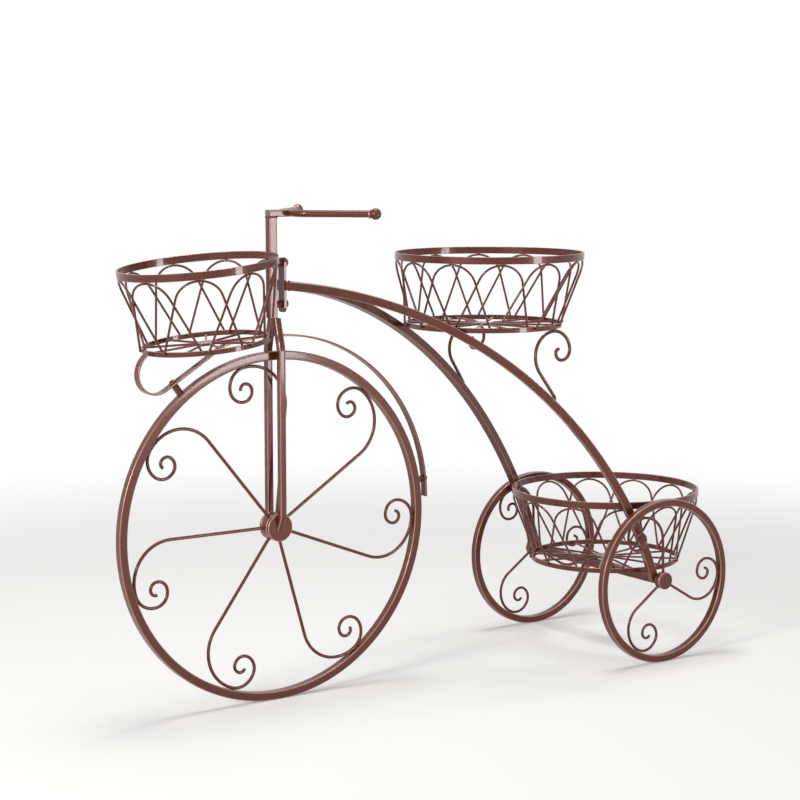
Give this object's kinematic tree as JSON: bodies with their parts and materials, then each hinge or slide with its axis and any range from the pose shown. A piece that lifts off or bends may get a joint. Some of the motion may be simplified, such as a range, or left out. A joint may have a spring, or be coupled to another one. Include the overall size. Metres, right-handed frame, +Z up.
{
  "type": "tricycle plant stand",
  "caption": "Wrought-iron plant stand in the shape of a tricycle, with scrolled spokes, bowed frame bars, a handlebar and open wire baskets for pots.",
  "frame": {"origin": "on the floor, under the middle of the length and of the width", "axes": "+X towards the rear, +Y to the stand's right, +Z up"},
  "size_m": [0.8056, 0.2616, 0.56],
  "materials": {
    "bronze_coat": "semi-gloss antique bronze powder coat with a fine hammered grain",
    "spring_steel": "plain spring steel"
  },
  "bodies": {
    "frame": {"front_rim": "bronze_coat", "front_hub": "bronze_coat", "front_spoke_1": "bronze_coat", "front_spoke_2": "bronze_coat", "front_spoke_3": "bronze_coat", "front_spoke_4": "bronze_coat", "front_spoke_5": "bronze_coat", "front_spoke_6": "bronze_coat", "front_spoke_7": "bronze_coat", "fork_blade_left": "bronze_coat", "fork_blade_right": "bronze_coat", "steerer_tube": "bronze_coat", "stem": "bronze_coat", "handlebar": "bronze_coat", "handlebar_balls": "bronze_coat", "mudguard": "bronze_coat", "basket_support_scroll": "bronze_coat", "rim_bolts": "bronze_coat", "rim_nuts": "bronze_coat", "head_plate": "bronze_coat", "head_screws": "bronze_coat", "head_nuts": "bronze_coat", "frame_bar_left": "bronze_coat", "frame_bar_right": "bronze_coat", "rear_axle": "bronze_coat", "axle_clips": "spring_steel", "top_bracket_left": "bronze_coat", "top_bracket_right": "bronze_coat", "front_basket_top_ring": "bronze_coat", "front_basket_base_ring": "bronze_coat", "front_basket_arches": "bronze_coat", "front_basket_base_grid": "bronze_coat", "top_basket_top_ring": "bronze_coat", "top_basket_base_ring": "bronze_coat", "top_basket_arches": "bronze_coat", "top_basket_base_grid": "bronze_coat", "rear_basket_top_ring": "bronze_coat", "rear_basket_base_ring": "bronze_coat", "rear_basket_arches": "bronze_coat", "rear_basket_base_grid": "bronze_coat"},
    "rear_wheel_left": {"rear_rim_left": "bronze_coat", "rear_hub_left": "bronze_coat", "rear_hub_cap_left": "bronze_coat", "rear_spoke_left_1": "bronze_coat", "rear_spoke_left_2": "bronze_coat", "rear_spoke_left_3": "bronze_coat"},
    "rear_wheel_right": {"rear_rim_right": "bronze_coat", "rear_hub_right": "bronze_coat", "rear_hub_cap_right": "bronze_coat", "rear_spoke_right_1": "bronze_coat", "rear_spoke_right_2": "bronze_coat", "rear_spoke_right_3": "bronze_coat"}
  },
  "joints": [
    {"name": "rear_wheel_left_spin", "type": "hinge", "parent": "frame", "child": "rear_wheel_left", "pos_m": [0.2724, -0.126, 0.1007], "axis": [0, 1, 0], "continuous": true},
    {"name": "rear_wheel_right_spin", "type": "hinge", "parent": "frame", "child": "rear_wheel_right", "pos_m": [0.2724, 0.126, 0.1007], "axis": [0, 1, 0], "continuous": true}
  ]
}
